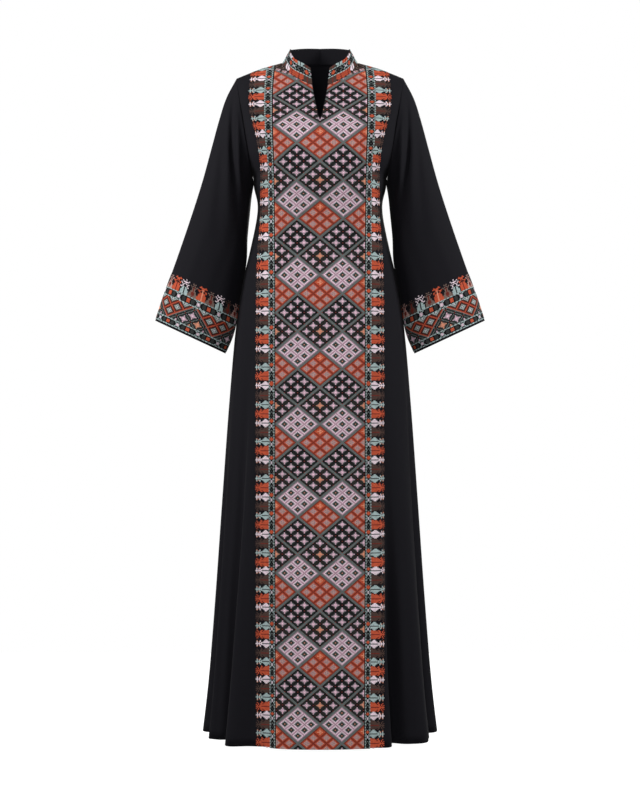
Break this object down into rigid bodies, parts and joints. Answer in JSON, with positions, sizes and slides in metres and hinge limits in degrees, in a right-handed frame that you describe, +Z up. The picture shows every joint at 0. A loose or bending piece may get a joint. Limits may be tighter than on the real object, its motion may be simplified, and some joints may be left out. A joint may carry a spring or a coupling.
{
  "type": "jalabiya",
  "caption": "Ankle length A-line jalabiya with long flared sleeves, a stand collar and an open neck slit, worn shape, cross stitch on the front panel and cuffs.",
  "frame": {"origin": "middle of the neck opening, 3 mm below the inner ends of the shoulder seams, where the wearer's neck and shoulders hold the garment", "axes": "+Z up from the hem to the neck, -Y out of the front, +X to the viewer's right as the front is looked at"},
  "size_m": [0.7226, 0.407, 1.5135],
  "materials": {
    "crepe": "matte black crepe with cotton cross stitch on the front panel and cuffs",
    "stitched": "black crepe covered in cotton cross stitch"
  },
  "bodies": {
    "root": {"front": "crepe", "back": "crepe", "sleeve_left": "crepe", "sleeve_right": "crepe", "collar": "stitched"}
  },
  "joints": []
}
